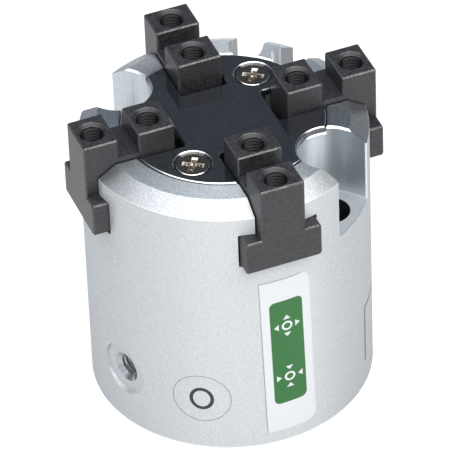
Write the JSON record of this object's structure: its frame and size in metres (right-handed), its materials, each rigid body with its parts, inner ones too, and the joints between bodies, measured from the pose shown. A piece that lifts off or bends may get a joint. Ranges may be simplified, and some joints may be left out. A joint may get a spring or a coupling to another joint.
{
  "type": "four-finger pneumatic gripper",
  "caption": "Round-bodied, air-driven parallel gripper: sliding fingers in T-guides, driven by a piston and wedge cam, with threaded pads for tooling.",
  "frame": {"origin": "centre of the flat mounting face at the bottom of the body", "axes": "+Z along the body's axis, from the mounting face to the fingers; +X and +Y each along a pair of fingers"},
  "size_m": [0.0666, 0.0666, 0.0724],
  "materials": {
    "body_aluminium": "satin anodised, fine grained",
    "plate_black": "polished, blackened steel",
    "finger_steel": "phosphated steel, dark grey, bright at its edges",
    "screw_bright": "bright plated",
    "mechanism_steel": "ground",
    "piston_aluminium": "turned",
    "cap_aluminium": "satin anodised",
    "seal_rubber": "matt black nitrile",
    "bumper_rubber": "amber polyurethane",
    "wear_plastic": "plain",
    "magnet": "sintered",
    "bush_bronze": "plain bearing bronze",
    "ring_steel": "phosphated spring steel",
    "label_white": "printed film"
  },
  "bodies": {
    "housing": {"body": "body_aluminium", "end_plate": "plate_black", "end_plate_screws": "screw_bright", "rod_bush": "bush_bronze", "rod_seal": "seal_rubber", "seal_retainer": "mechanism_steel", "rod_side_bumper": "bumper_rubber", "cap_side_bumper": "bumper_rubber", "bottom_cap": "cap_aluminium", "cap_oring": "seal_rubber", "retaining_ring": "ring_steel", "side_label": "label_white"},
    "piston_group": {"wedge_cam": "mechanism_steel", "piston_rod": "mechanism_steel", "piston": "piston_aluminium", "piston_wear_ring": "wear_plastic", "piston_magnet": "magnet", "piston_seal": "seal_rubber", "cam_bolt": "mechanism_steel"},
    "jaw_1": {"finger_1": "finger_steel"},
    "jaw_2": {"finger_2": "finger_steel"},
    "jaw_3": {"finger_3": "finger_steel"},
    "jaw_4": {"finger_4": "finger_steel"}
  },
  "joints": [
    {"name": "piston_stroke", "type": "slide", "parent": "housing", "child": "piston_group", "axis": [0, 0, 1], "range_m": [-0.004, 0.004]},
    {"name": "jaw_1_slide", "type": "slide", "parent": "housing", "child": "jaw_1", "axis": [1, 0, 0], "range_m": [-0.002, 0.002]},
    {"name": "jaw_2_slide", "type": "slide", "parent": "housing", "child": "jaw_2", "axis": [0, 1, 0], "range_m": [-0.002, 0.002]},
    {"name": "jaw_3_slide", "type": "slide", "parent": "housing", "child": "jaw_3", "axis": [-1, 0, 0], "range_m": [-0.002, 0.002]},
    {"name": "jaw_4_slide", "type": "slide", "parent": "housing", "child": "jaw_4", "axis": [0, -1, 0], "range_m": [-0.002, 0.002]}
  ],
  "couplings": [
    {"joint": "jaw_1_slide", "follows": "piston_stroke", "ratio": 0.5},
    {"joint": "jaw_2_slide", "follows": "piston_stroke", "ratio": 0.5},
    {"joint": "jaw_3_slide", "follows": "piston_stroke", "ratio": 0.5},
    {"joint": "jaw_4_slide", "follows": "piston_stroke", "ratio": 0.5}
  ]
}
